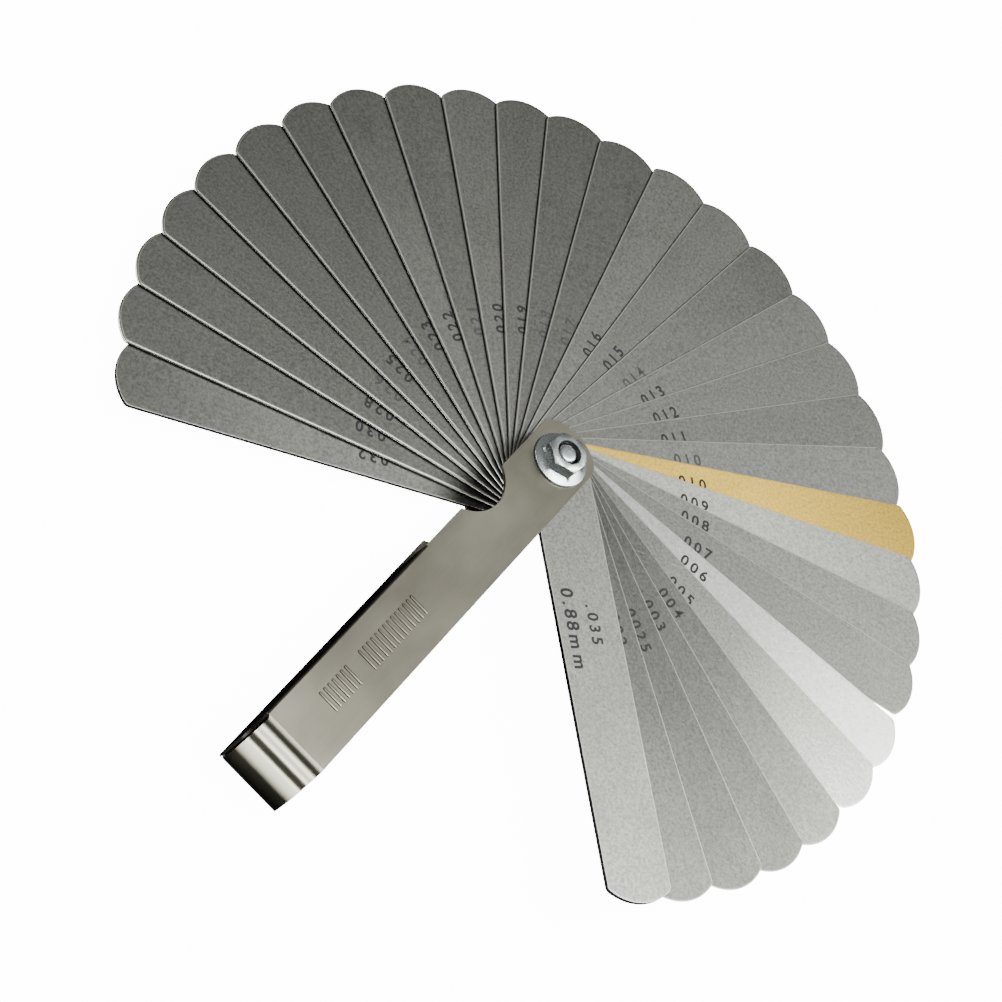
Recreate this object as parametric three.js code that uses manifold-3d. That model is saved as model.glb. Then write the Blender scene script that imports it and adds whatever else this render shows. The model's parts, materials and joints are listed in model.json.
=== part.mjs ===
// Feeler gauge: a fan of ground thickness leaves that turn on one screw in a folded sheet case.
// Millimetres. +Z runs up the pivot axis; the gauge lies on its back with the nut on top.
// Inside the group, +X runs from the pivot along the case to its tail and +Y is the open side
// of the case, where the leaves swing out. The group is turned so that the tail points to -Y.
// Leaf angles are counter-clockwise, seen from the nut, from the case direction.

import * as THREE from "three";
import { mergeVertices } from "three/addons/utils/BufferGeometryUtils.js";
import Module from "manifold-3d";

// ---------------------------------------------------------------- driving dimensions

const INCH = 25.4;

// leaves
const LEAF_WIDTH = 0.5 * INCH;
const LEAF_REACH = 81.2; // pivot axis to leaf tip
const LEAF_TIP_RADIUS = 9.6; // flatter than half the width, so the tip has two soft corners
const LEAF_HOLE_RADIUS = 2.1;
const LEAF_GAP = 0.01; // running gap between neighbours in the stack

// pivot
const SHANK_RADIUS = 2.0; // M4 screw
const HEAD_ACROSS_FLATS = 7.0;
const HEAD_HEIGHT = 2.8;
const HEAD_CHAMFER = 0.5;
const SHANK_CHAMFER = 0.5;
const SEAT_GAP = 0.02; // between a cheek and the head or nut that clamps it
const FLANGE_RADIUS = 5.3;
const FLANGE_RIM = 0.4;
const FLANGE_SLOPE_TOP = 0.8;
const NUT_ACROSS_FLATS = 7.0;
const NUT_HEIGHT = 3.4;
const NUT_CHAMFER = 0.45;
const NUT_BORE_RADIUS = 2.1;
const NUT_TURN = THREE.MathUtils.degToRad(-8);
const SHANK_BELOW_NUT_TOP = 0.3;

// case
const SHEET = 0.7;
const CHEEK_OPEN_EDGE = 6.0; // edge on the side where the leaves swing out
const CHEEK_BACK_EDGE = -6.8; // plain edge between the nose and the spine
const BEND_LINE = -6.4; // where the front cheek turns down into the spine
const CHEEK_HOLE_RADIUS = 2.15;
const NOSE_RADIUS = 8.4;
const NOSE_CENTRE = [1.0, -0.7];
const NOSE_SPINE_CORNER = [-4.8, CHEEK_BACK_EDGE];
const NOSE_OPEN_CORNER = [-5.3, 4.9];
const NOSE_OPEN_CONTROL = [-4.3, CHEEK_OPEN_EDGE];
const NOSE_OPEN_END = [-1.8, CHEEK_OPEN_EDGE];
const NOTCH_CENTRE = [17.2, -10.4]; // thumb notch in both cheeks
const NOTCH_RADIUS = 7.6;
const SPINE_START = 35;
const SPINE_BEND_END = 82;
const SPINE_END = 85.2;
const SPINE_OUTER = 7.15;
const SPINE_BEND_RADIUS = 0.75;
const SPINE_FOOT_GAP = 0.3; // spine's free edge stays this far above the back cheek
const BEND_START = 81.8; // where the cheeks run into the crimped tail
const BEND_END_BACK = 84.3;

// segments round a full circle or along an arc
const ROUND = 24;
const HOLE_ROUND = 20;
const NOSE_SEGMENTS = 16;
const TIP_SEGMENTS = 8;
const ROOT_SEGMENTS = 12;
const TAIL_SEGMENTS = 24;

// Each leaf: marked thickness in thousandths of an inch, its angle out of the case in degrees
// with the fan spread, and how much its length differs from the nominal reach, where it does.
// The first leaf is next to the nut.
const LEAVES = [
  ["035", 35, 48],
  ["0015", 1.5, 48],
  ["002", 2, 55],
  ["0025", 2.5, 63.5],
  ["003", 3, 71.5],
  ["004", 4, 80],
  ["005", 5, 89.5],
  ["006", 6, 98],
  ["007", 7, 108],
  ["008", 8, 116],
  ["009", 9, 124.5],
  ["010_brass", 10, 132.5],
  ["010", 10, 141.5, -0.7],
  ["011", 11, 150],
  ["012", 12, 158.5],
  ["013", 13, 167],
  ["014", 14, 176, 0.3],
  ["015", 15, 185, 0.3],
  ["016", 16, 193.5, 0.3],
  ["017", 17, 202.5, -0.5],
  ["018", 18, 211],
  ["019", 19, 219],
  ["020", 20, 227.5],
  ["021", 21, 236.5, 0.3],
  ["022", 22, 245.5, 0.3],
  ["023", 23, 254, 0.2],
  ["024", 24, 263],
  ["025", 25, 272],
  ["026", 26, 280.5],
  ["028", 28, 289],
  ["030", 30, 297.5, -0.3],
  ["032", 32, 306, -1.8],
];

// ---------------------------------------------------------------- worked-out heights

const thickness = (thousandths) => (thousandths / 1000) * INCH;
const stackHeight = LEAVES.reduce((sum, leaf) => sum + thickness(leaf[1]) + LEAF_GAP, LEAF_GAP);
const backOuter = HEAD_HEIGHT + SEAT_GAP; // outer face of the back cheek
const backInner = backOuter + SHEET;
const frontInner = backInner + stackHeight;
const frontOuter = frontInner + SHEET;
const nutSeat = frontOuter + SEAT_GAP;
const nutTop = nutSeat + NUT_HEIGHT;

// ---------------------------------------------------------------- materials

const steel = (color, roughness) =>
  new THREE.MeshStandardMaterial({ color, roughness, metalness: 1 });

const caseFinish = steel(0xa9a69a, 0.38);
const plated = steel(0xc3ccd2, 0.2);
const leafSteel = steel(0x8f918c, 0.42);
const brass = steel(0xd3b06f, 0.35);

// ---------------------------------------------------------------- solids

const wasm = await Module();
wasm.setup();

// a closed three.js geometry as a manifold solid
function solid(geometry) {
  const bare = geometry.index ? geometry.toNonIndexed() : geometry.clone();
  bare.deleteAttribute("normal");
  bare.deleteAttribute("uv");
  const welded = mergeVertices(bare, 1e-4);
  return new wasm.Manifold(
    new wasm.Mesh({
      numProp: 3,
      vertProperties: new Float32Array(welded.attributes.position.array),
      triVerts: new Uint32Array(welded.index.array),
    }),
  );
}

// a manifold solid as a three.js geometry
function geometryOf(body) {
  const mesh = body.getMesh();
  const geometry = new THREE.BufferGeometry();
  geometry.setAttribute("position", new THREE.BufferAttribute(mesh.vertProperties, 3));
  geometry.setIndex(new THREE.BufferAttribute(mesh.triVerts, 1));
  geometry.computeVertexNormals();
  return geometry;
}

// a plate with its outline in the XY plane, from z = low to z = high
function plate(outline, low, high, holes = []) {
  const shape = new THREE.Shape(outline);
  for (const hole of holes) shape.holes.push(new THREE.Path(hole));
  const geometry = new THREE.ExtrudeGeometry(shape, { depth: high - low, bevelEnabled: false });
  return geometry.translate(0, 0, low);
}

// a strip with its profile in the XZ plane, from y = low to y = high
function strip(profile, low, high) {
  const shape = new THREE.Shape(profile);
  const geometry = new THREE.ExtrudeGeometry(shape, { depth: high - low, bevelEnabled: false });
  return geometry.rotateX(Math.PI / 2).translate(0, high, 0);
}

// a solid of revolution about Z from (radius, height) pairs that start and end on the axis
function turned(pairs, segments) {
  const profile = pairs.map(([radius, height]) => new THREE.Vector2(radius, height));
  return new THREE.LatheGeometry(profile, segments).rotateX(Math.PI / 2);
}

// points along an arc, ends included
function arc(centre, radius, from, to, segments) {
  const points = [];
  for (let step = 0; step <= segments; step += 1) {
    const angle = from + ((to - from) * step) / segments;
    const x = centre[0] + radius * Math.cos(angle);
    const y = centre[1] + radius * Math.sin(angle);
    points.push(new THREE.Vector2(x, y));
  }
  return points;
}

function circle(radius, segments) {
  return arc([0, 0], radius, 0, 2 * Math.PI, segments).slice(0, -1);
}

function hexagon(acrossFlats) {
  return circle(acrossFlats / Math.sqrt(3), 6);
}

// ---------------------------------------------------------------- leaf

// half-round at the pivot end, a shallower arc at the tip
function leafOutline(reach) {
  const half = LEAF_WIDTH / 2;
  const spread = Math.asin(half / LEAF_TIP_RADIUS);
  const tipCentre = [reach - LEAF_TIP_RADIUS, 0];
  const tip = arc(tipCentre, LEAF_TIP_RADIUS, -spread, spread, TIP_SEGMENTS);
  const root = arc([0, 0], half, Math.PI / 2, Math.PI * 1.5, ROOT_SEGMENTS);
  return [...tip, ...root];
}

function leaf(name, thousandths, angle, reach, top) {
  const low = top - thickness(thousandths);
  const hole = circle(LEAF_HOLE_RADIUS, HOLE_ROUND);
  const material = name.endsWith("brass") ? brass : leafSteel;
  const mesh = new THREE.Mesh(plate(leafOutline(reach), low, top, [hole]), material.clone());
  mesh.name = `leaf_${name}`;
  mesh.rotation.z = THREE.MathUtils.degToRad(angle);
  return mesh;
}

// ---------------------------------------------------------------- case

// outline that both cheeks share: round nose, straight sides, thumb notch on the spine side
function cheekOutline() {
  const noseFrom = Math.atan2(
    NOSE_SPINE_CORNER[1] - NOSE_CENTRE[1],
    NOSE_SPINE_CORNER[0] - NOSE_CENTRE[0],
  );
  const noseTo = Math.atan2(
    NOSE_OPEN_CORNER[1] - NOSE_CENTRE[1],
    NOSE_OPEN_CORNER[0] - NOSE_CENTRE[0],
  );
  const nose = arc(NOSE_CENTRE, NOSE_RADIUS, noseFrom + 2 * Math.PI, noseTo, NOSE_SEGMENTS);
  const corner = new THREE.QuadraticBezierCurve(
    nose[nose.length - 1],
    new THREE.Vector2(...NOSE_OPEN_CONTROL),
    new THREE.Vector2(...NOSE_OPEN_END),
  );
  const past = SPINE_END + CHEEK_OPEN_EDGE; // beyond the tail, which trims it
  return [
    ...nose,
    ...corner.getPoints(4).slice(1),
    new THREE.Vector2(past, CHEEK_OPEN_EDGE),
    new THREE.Vector2(past, BEND_LINE),
    new THREE.Vector2(SPINE_START, BEND_LINE),
    new THREE.Vector2(SPINE_START, CHEEK_BACK_EDGE),
  ];
}

// outer face of the crimped tail from the front cheek down to the back cheek, as (x, z):
// a tight fold, a narrow ridge, a shallow groove, one long rounded fall, then an undercut
function tailOuter() {
  const path = new THREE.SplineCurve([
    new THREE.Vector2(BEND_START, frontOuter),
    new THREE.Vector2(82.75, frontOuter - 0.25),
    new THREE.Vector2(83.4, frontOuter - 0.95),
    new THREE.Vector2(83.95, frontOuter - 2.6),
    new THREE.Vector2(84.9, frontOuter - 3.75),
    new THREE.Vector2(85.35, frontOuter - 5.0),
    new THREE.Vector2(86.0, frontOuter - 7.2),
    new THREE.Vector2(86.05, backOuter + 5.0),
    new THREE.Vector2(85.95, backOuter + 2.5),
    new THREE.Vector2(85.25, backOuter + 0.65),
    new THREE.Vector2(BEND_END_BACK, backOuter),
  ]);
  return path.getPoints(TAIL_SEGMENTS);
}

// the inner face lies one sheet inside the outer one
function inset(points, distance) {
  return points.map((point, index) => {
    const before = points[Math.max(index - 1, 0)];
    const after = points[Math.min(index + 1, points.length - 1)];
    const along = after.clone().sub(before).normalize();
    return new THREE.Vector2(point.x + along.y * distance, point.y - along.x * distance);
  });
}

// front cheek, tail and back cheek in one folded strip, seen from the side
function stripProfile() {
  const outer = tailOuter();
  const inner = inset(outer, SHEET);
  inner[0].set(BEND_START, frontInner);
  inner[inner.length - 1].set(BEND_END_BACK, backInner);
  const nose = -NOSE_RADIUS - SHEET;
  return [
    new THREE.Vector2(nose, frontOuter),
    ...outer,
    new THREE.Vector2(nose, backOuter),
    new THREE.Vector2(nose, backInner),
    ...inner.reverse(),
    new THREE.Vector2(nose, frontInner),
  ];
}

// bend that joins the spine to the front cheek, as a (y, z) section swept along the case
function spineBend() {
  const foot = frontOuter - SPINE_BEND_RADIUS - SHEET;
  const centre = [SPINE_BEND_RADIUS - SPINE_OUTER, frontOuter - SPINE_BEND_RADIUS];
  const cheek = BEND_LINE + SHEET;
  const section = [
    ...arc(centre, SPINE_BEND_RADIUS, Math.PI / 2, Math.PI, 5),
    new THREE.Vector2(-SPINE_OUTER, foot),
    new THREE.Vector2(SHEET - SPINE_OUTER, foot),
    ...arc(centre, SPINE_BEND_RADIUS - SHEET, Math.PI, Math.PI / 2, 3),
    new THREE.Vector2(cheek, frontInner),
    new THREE.Vector2(cheek, frontOuter),
  ];
  const length = SPINE_BEND_END - SPINE_START;
  const shape = new THREE.Shape(section);
  const geometry = new THREE.ExtrudeGeometry(shape, { depth: length, bevelEnabled: false });
  // section x becomes y, section y becomes z, and the sweep runs along x
  const frame = new THREE.Matrix4().makeBasis(
    new THREE.Vector3(0, 1, 0),
    new THREE.Vector3(0, 0, 1),
    new THREE.Vector3(1, 0, 0),
  );
  return geometry.applyMatrix4(frame).translate(SPINE_START, 0, 0);
}

// the spine's wall, which runs on past the bend to close the side of the tail
function spineWall() {
  const low = backInner + SPINE_FOOT_GAP;
  const high = frontOuter - SPINE_BEND_RADIUS;
  const outline = [
    new THREE.Vector2(SPINE_START, low),
    new THREE.Vector2(SPINE_END - 0.5, low),
    new THREE.Vector2(SPINE_END, low + 0.8),
    new THREE.Vector2(SPINE_END, high - 2.6),
    new THREE.Vector2(SPINE_END - 1.6, high - 0.4),
    new THREE.Vector2(SPINE_BEND_END, high),
    new THREE.Vector2(SPINE_START, high),
  ];
  return strip(outline, -SPINE_OUTER, SHEET - SPINE_OUTER);
}

function caseBody() {
  const low = backOuter - 1;
  const high = frontOuter + 1;
  const notch = arc(NOTCH_CENTRE, NOTCH_RADIUS, 0, 2 * Math.PI, 2 * ROUND).slice(0, -1);
  const body = solid(strip(stripProfile(), CHEEK_BACK_EDGE, CHEEK_OPEN_EDGE))
    .intersect(solid(plate(cheekOutline(), low, high)))
    .subtract(solid(plate(notch, low, high)))
    .subtract(solid(plate(circle(CHEEK_HOLE_RADIUS, ROUND), low, high)))
    .add(solid(spineBend()))
    .add(solid(spineWall()));
  const mesh = new THREE.Mesh(geometryOf(body), caseFinish);
  mesh.name = "case";
  return mesh;
}

// ---------------------------------------------------------------- pivot screw and nut

// a hexagonal prism whose corners are taken off by a cone at one end
function chamferedHex(acrossFlats, low, high, chamfer, chamferLow) {
  const corner = acrossFlats / Math.sqrt(3) + 0.01;
  const face = corner - chamfer;
  const near = chamferLow ? low : high;
  const inward = chamferLow ? chamfer * 0.6 : -chamfer * 0.6;
  const pairs = [
    [0, near],
    [face, near],
    [corner, near + inward],
    [corner, chamferLow ? high : low],
    [0, chamferLow ? high : low],
  ];
  const cone = turned(chamferLow ? pairs : pairs.reverse(), ROUND);
  return solid(plate(hexagon(acrossFlats), low, high)).intersect(solid(cone));
}

function pivotScrew() {
  const end = nutTop - SHANK_BELOW_NUT_TOP;
  const shank = turned(
    [
      [0, HEAD_HEIGHT - 1],
      [SHANK_RADIUS, HEAD_HEIGHT - 1],
      [SHANK_RADIUS, end - SHANK_CHAMFER],
      [SHANK_RADIUS - SHANK_CHAMFER, end],
      [0, end],
    ],
    ROUND,
  );
  const head = chamferedHex(HEAD_ACROSS_FLATS, 0, HEAD_HEIGHT, HEAD_CHAMFER, true);
  const mesh = new THREE.Mesh(geometryOf(head.add(solid(shank))), plated);
  mesh.name = "pivot_screw";
  return mesh;
}

function flangeNut() {
  const corner = NUT_ACROSS_FLATS / Math.sqrt(3);
  const flange = turned(
    [
      [0, nutSeat],
      [FLANGE_RADIUS, nutSeat],
      [FLANGE_RADIUS, nutSeat + FLANGE_RIM],
      [corner, nutSeat + FLANGE_SLOPE_TOP],
      [0, nutSeat + FLANGE_SLOPE_TOP],
    ],
    ROUND,
  );
  const hex = chamferedHex(NUT_ACROSS_FLATS, nutSeat + FLANGE_RIM, nutTop, NUT_CHAMFER, false);
  const bore = plate(circle(NUT_BORE_RADIUS, ROUND), nutSeat - 1, nutTop + 1);
  const body = solid(flange).add(hex).subtract(solid(bore));
  const mesh = new THREE.Mesh(geometryOf(body), plated);
  mesh.name = "flange_nut";
  mesh.rotation.z = NUT_TURN;
  return mesh;
}

// ---------------------------------------------------------------- assembly

const group = new THREE.Group();
group.rotation.z = -Math.PI / 2;
group.add(caseBody(), pivotScrew(), flangeNut());

let leafTop = frontInner - LEAF_GAP;
for (const [name, thousandths, angle, difference = 0] of LEAVES) {
  group.add(leaf(name, thousandths, angle, LEAF_REACH + difference, leafTop));
  leafTop -= thickness(thousandths) + LEAF_GAP;
}

export default group;
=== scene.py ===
"""Feeler gauge: thirty-two thickness leaves fanned out on one screw in a folded sheet case.

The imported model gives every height, reach and fan angle. This add-on makes the leaves, their
etched sizes, the case, the screw and the nut as finished meshes around it, and a plain studio.
"""

import json
import math

import bmesh
import bpy
from mathutils import Matrix, Vector


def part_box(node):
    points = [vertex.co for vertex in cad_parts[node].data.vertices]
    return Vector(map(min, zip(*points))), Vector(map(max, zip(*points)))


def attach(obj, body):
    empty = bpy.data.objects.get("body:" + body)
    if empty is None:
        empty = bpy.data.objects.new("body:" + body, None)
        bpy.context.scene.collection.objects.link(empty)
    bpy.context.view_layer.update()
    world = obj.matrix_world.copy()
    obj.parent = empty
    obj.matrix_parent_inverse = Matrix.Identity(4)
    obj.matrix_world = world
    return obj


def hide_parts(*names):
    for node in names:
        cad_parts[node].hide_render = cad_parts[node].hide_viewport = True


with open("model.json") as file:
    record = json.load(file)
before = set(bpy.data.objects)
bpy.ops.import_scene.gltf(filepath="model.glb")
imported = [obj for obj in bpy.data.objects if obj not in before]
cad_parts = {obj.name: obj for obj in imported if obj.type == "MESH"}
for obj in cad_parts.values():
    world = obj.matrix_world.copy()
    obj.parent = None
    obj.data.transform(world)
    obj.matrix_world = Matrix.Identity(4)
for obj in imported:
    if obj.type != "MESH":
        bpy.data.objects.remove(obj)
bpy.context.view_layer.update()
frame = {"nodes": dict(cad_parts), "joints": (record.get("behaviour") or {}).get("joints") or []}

bl_info = {
    "name": "Feeler Gauge",
    "version": (1, 0, 0),
    "blender": (4, 5, 0),
    "location": "View3D > Sidebar > Feeler Gauge",
    "description": "Builds a fanned feeler gauge with etched leaves, a folded case and a nut",
    "category": "Mesh",
}

MM = 0.001
QUARTER = math.pi / 2
FULL = 2 * math.pi
CASE_TURN = -QUARTER  # meshes are made with +X along the case, which points to -Y
ROOT_BODY = "body"

# What sets a leaf apart: how bright its face is, partly the steel's own variation and partly a
# painted reflection, the brightness that the lighting gives each leaf; how rough; how much lighter
# its tip is than its middle; and how far its inch size sits from the common place, along and
# across, in millimetres.
LEAF_LOOKS = {
    "leaf_035": (0.37, 0.4, 1.1, 0, 0),
    "leaf_0015": (0.24, 0.34, 1, 0, 0),
    "leaf_002": (0.2, 0.33, 1.15, 0, 0.35),
    "leaf_0025": (0.175, 0.33, 1.1, 0, -0.2),
    "leaf_003": (0.195, 0.33, 1.1, 0, 0.3),
    "leaf_004": (0.265, 0.32, 1.25, 0, 0.5),
    "leaf_005": (0.57, 0.31, 1.35, 0, -0.9),
    "leaf_006": (1.16, 0.33, 1.25, 0, 0.6),
    "leaf_007": (0.3, 0.4, 1.1, -0.4, -0.4),
    "leaf_008": (0.32, 0.4, 1, -1.7, 0.6),
    "leaf_009": (0.54, 0.42, 0.85, -1.6, 0),
    "leaf_010_brass": (0.85, 0.38, 0.75, -1.3, 0),
    "leaf_010": (0.3, 0.42, 1, -0.8, 0),
    "leaf_011": (0.245, 0.42, 1, -1.6, 0),
    "leaf_012": (0.27, 0.42, 1, -0.5, 0.3),
    "leaf_013": (0.28, 0.42, 1, 0, 0),
    "leaf_014": (0.245, 0.42, 0.9, -0.4, -0.3),
    "leaf_015": (0.27, 0.42, 1, 0, 0),
    "leaf_016": (0.28, 0.42, 1, 0, 0),
    "leaf_019": (0.22, 0.43, 1, 0, 0),
    "leaf_020": (0.25, 0.43, 1, 0, 0),
    "leaf_021": (0.22, 0.43, 1, 0, 0),
    "leaf_022": (0.23, 0.43, 0.9, 0, 0),
    "leaf_024": (0.2, 0.43, 1, -0.4, 0),
    "leaf_025": (0.2, 0.43, 1, -0.6, 0),
    "leaf_026": (0.2, 0.43, 1, -0.9, 0),
    "leaf_028": (0.2, 0.43, 1, -0.8, 0),
    "leaf_030": (0.2, 0.43, 1, -0.3, 0),
    "leaf_032": (0.25, 0.43, 0.8, -1.4, -0.2),
}
COMMON_LOOK = (0.2, 0.43, 1, 0, 0)
SHARP_LEAVES = {"leaf_035", "leaf_032"}
FAINT_MARKS = {f"leaf_{size}" for size in ("010", "014", "017", "018", "021", "024", "026")}
FAINT_TONE = (0.06, 0.06, 0.058)
ROOM = {".": 0.75, "m": 1.65}  # room that a character takes, in digits
DIGIT_SHARE = 0.73  # height of a digit as a share of the type size
STROKE = 0.034  # how much bolder the strokes are cut, as a share of the height
STROKE_OF_FOUR = 0.012  # the four's small counter would fill at the common stroke
HUNDREDTHS_PER_INCH = 2540  # hundredths of a millimetre

# The cheeks, in millimetres: x along the case from the pivot, y towards the open edge.
NOSE_CENTRE = (1.0, -0.7)
NOSE_RADIUS = 8.4
NOSE_OPEN_CORNER = (-5.3, 4.9)
NOSE_BACK_CORNER = -4.8
EASE_CONTROL = -4.3  # the soft curve from the open edge to the nose
EASE_START = -1.8
EASE_STEPS = 9
NOTCH_CENTRE = (17.2, -10.4)
NOTCH_RADIUS = 7.6

# The tail's outer line: x, and z down from the front cheek's face or up from the back cheek's.
TAIL_FROM_FRONT = ((83.1, 0.3), (83.8, 1.3), (84.3, 3.1), (85.15, 4.3), (85.55, 5.5), (86.0, 7.5))
TAIL_FROM_BACK = ((86.05, 5.2), (85.85, 2.5), (85.35, 0.62))
TAIL_SEGMENTS = 6  # between two of these points
TAIL_RELIEF = 0.4  # gap between the tail and the spine beside it
TAIL_EASE = 4  # points over which this gap opens from each end

# The spine's corners beside the tail: x back from its end, z down from its bend or up from its
# foot.
SPINE_CREST = ((1.6, 1.0), (0.3, 3.0), (0, 4.4))
SPINE_TOE = ((0, 0.8), (0.2, 0.2), (0.8, 0))

BAR_GROUPS = ((45.2, 14), (65.0, 7))  # first bar's place along the case, and how many
BAR_MIDDLE = -0.85
BAR_ROOT = 0.04  # how deep the bars reach into the cheek

MIX_FIRST, MIX_SECOND, MIX_RESULT = 6, 7, 2  # the colour sockets of a Mix node
RIM_STEPS = 4  # facets across a plate's rounded rim
AROUND = 144  # points round a turned piece; a multiple of 12, so hexagon corners fall on points
CROWN = math.tan(math.radians(30))  # slope of the cone that takes off a hexagon's corners
THREAD_STEPS = 30
# The screw's domed end: radius, and height down from its top.
SCREW_DOME = ((1.8, 0.36), (1.66, 0.16), (1.5, 0.07), (1.1, 0.02), (0.55, 0.002))

# The sky's glow from straight down (-1) through level (0) to straight up (1).
SKY_BANDS = (
    (-1.0, 0.001), (-0.55, 0.001), (-0.38, 0.9), (-0.1, 0.9),
    (0.0, 0.009), (0.4, 0.009), (0.65, 0.01), (1.0, 0.018),
)
SKY_STRENGTH = 14.0

# The soft boxes: name, place and size in metres, watts.
SOFT_BOXES = (
    ("key_back_right", (0.51, 0.66, 1.0), (0.5, 0.5), 5.6),
    ("overhead_strip", (0.38, 0.18, 1.25), (0.8, 0.46), 14),
)
LIGHT_AIM = (0, 0, 0.01)
FLOOR_GLOW = 14.0
FLOOR_SPAN = 4000  # millimetres to each side

# ---------------------------------------------------------------- settings


def mm(name, description, value):
    """A length property, given in millimetres and stored in metres."""
    return bpy.props.FloatProperty(
        name=name, description=description, default=value * MM, unit="LENGTH", precision=5
    )


def turning(name, description, degrees):
    """An angle property, given in degrees."""
    turn = math.radians(degrees)
    return bpy.props.FloatProperty(
        name=name, description=description, default=turn, subtype="ANGLE"
    )


def spot(name, description, value):
    """A place in the scene, in metres."""
    return bpy.props.FloatVectorProperty(
        name=name, description=description, default=value, subtype="TRANSLATION"
    )


def colour(name, description, value):
    """A colour property, in linear light."""
    return bpy.props.FloatVectorProperty(
        name=name, description=description, default=value, subtype="COLOR", min=0, max=1
    )


class GaugeLeafSettings(bpy.types.PropertyGroup):
    width: mm("Width", "Width of every leaf", 12.7)
    tip_radius: mm("Tip radius", "Radius of the shallow arc at a leaf's tip", 9.6)
    corner_radius: mm("Corner radius", "Rounding where the tip meets a long edge", 1.3)
    hole_radius: mm("Hole radius", "Radius of the pivot hole", 2.09)
    edge_round: mm("Edge rounding", "Largest rounding of a leaf's long edges", 0.3)
    sharp_round: mm("Sharp rounding", "Rounding of the sharp-edged leaves", 0.03)
    # Edge polish and a painted highlight both fade in over this width from a leaf's rim.
    polish_and_highlight_width: mm("Wear width", "How far edge polish reaches in from an edge", 0.45)
    inch_height: mm("Inch mark height", "Height of the inch size digits", 2.3)
    metric_height: mm("Metric mark height", "Height of the metric size digits", 2.6)
    inch_start: mm("Inch start", "From the pivot to the middle of the point", 27.6)
    inch_line: mm("Inch line", "Across the leaf to the middle of the inch size", 2.5)
    metric_start: mm("Metric start", "From the pivot to the middle of the nought", 25.3)
    metric_line: mm("Metric line", "Across to the middle of the metric size", -3.3)
    top_shift: mm("Top leaf shift", "How far the top leaf's inch size sits lower", 1.3)
    digit_pitch: mm("Digit pitch", "Room that one digit takes along the leaf", 2.25)
    mark_proud: mm("Mark thickness", "How far the etched film stands on the face", 0.004)


class GaugeCaseSettings(bpy.types.PropertyGroup):
    sheet: mm("Sheet", "Thickness of the sheet", 0.7)
    open_edge: mm("Open edge", "From the pivot to the cheeks' open edge", 6.0)
    back_edge: mm("Back edge", "From the pivot to the cheeks' plain back edge", 6.8)
    bend_line: mm("Bend line", "From the pivot to where the cheek bends down", 6.4)
    hole_radius: mm("Hole radius", "Radius of the pivot hole in a cheek", 2.15)
    spine_outer: mm("Spine face", "From the pivot to the spine's outer face", 6.83)
    spine_wall: mm("Spine wall", "Thickness of the flange bent down as the spine", 0.4)
    spine_start: mm("Spine start", "From the pivot to the start of the spine", 35)
    spine_end: mm("Spine end", "From the pivot to the end of the spine", 86.0)
    spine_foot: mm("Spine foot gap", "From the back cheek to the spine's edge", 0.3)
    front_bend: mm("Front bend", "Where the front cheek runs into the tail", 82.1)
    back_bend: mm("Back bend", "Where the back cheek runs into the tail", 84.6)
    edge_bevel: mm("Edge bevel", "Rounding of the sheet's cut edges", 0.12)
    bar_height: mm("Bar height", "How far the stamped bars stand proud", 0.16)
    bar_width: mm("Bar width", "Width of one stamped bar", 0.55)
    bar_length: mm("Bar length", "Length of one stamped bar", 4.3)
    bar_pitch: mm("Bar pitch", "Spacing of the stamped bars", 1.2)


class GaugeFastenerSettings(bpy.types.PropertyGroup):
    flange_radius: mm("Flange radius", "Radius of the nut's flange", 5.25)
    flange_rim: mm("Flange rim", "Height of the flange's rim", 0.48)
    flange_rise: mm("Flange rise", "Height of the flange at the hexagon's foot", 0.75)
    nut_flats: mm("Nut across flats", "Size of the nut's hexagon", 7.0)
    head_flats: mm("Head across flats", "Size of the screw head's hexagon", 7.0)
    shank_radius: mm("Shank radius", "Radius of the screw's shank", 1.98)
    thread_depth: mm("Thread depth", "Depth of the thread", 0.35)
    thread_pitch: mm("Thread pitch", "Rise of one thread turn", 0.7)
    nut_turn: turning("Nut turn", "From the case direction to a corner of the nut", -8)


class GaugeColours(bpy.types.PropertyGroup):
    steel: colour("Leaf steel", "Ground leaf steel at full brightness", (0.80, 0.81, 0.735))
    brass: colour("Brass", "Rolled brass leaf", (0.98, 0.62, 0.11))
    # The near-black of the sheets' edges is a painted shade, not the steel's own colour.
    edge: colour("Cut edge", "Dark sheared edges of the sheets", (0.03, 0.03, 0.032))
    case: colour("Case", "Satin plate on the case", (0.279, 0.267, 0.211))
    zinc: colour("Zinc", "Bright plate on nut and screw", (0.70, 0.78, 0.75))
    mark: colour("Marks", "Black etch of the size marks", (0.012, 0.012, 0.013))
    floor: colour("Floor", "Studio floor", (0.86, 0.86, 0.86))


class GaugeStageSettings(bpy.types.PropertyGroup):
    camera_place: spot("Camera place", "Where the camera stands", (-0.0347, -0.3527, 0.4068))
    camera_aim: spot("Camera aim", "Where the camera looks", (-0.0021, -0.0103, 0.0099))
    camera_roll: turning("Camera roll", "Turn of the camera about its line of sight", 50.3)
    focal_length: bpy.props.FloatProperty(
        name="Focal length", description="Lens, in millimetres", default=107.34, min=1
    )


# ---------------------------------------------------------------- outlines and meshes


def arc(centre, radius, start, end, segments):
    """Points along an arc in the XY plane, both ends included."""
    steps = [start + (end - start) * i / segments for i in range(segments + 1)]
    return [
        Vector((centre[0] + radius * math.cos(a), centre[1] + radius * math.sin(a))) for a in steps
    ]


def circle(radius, segments):
    """Points round a circle about the pivot axis, starting on +X."""
    return arc((0, 0), radius, 0, FULL, segments)[:-1]


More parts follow.
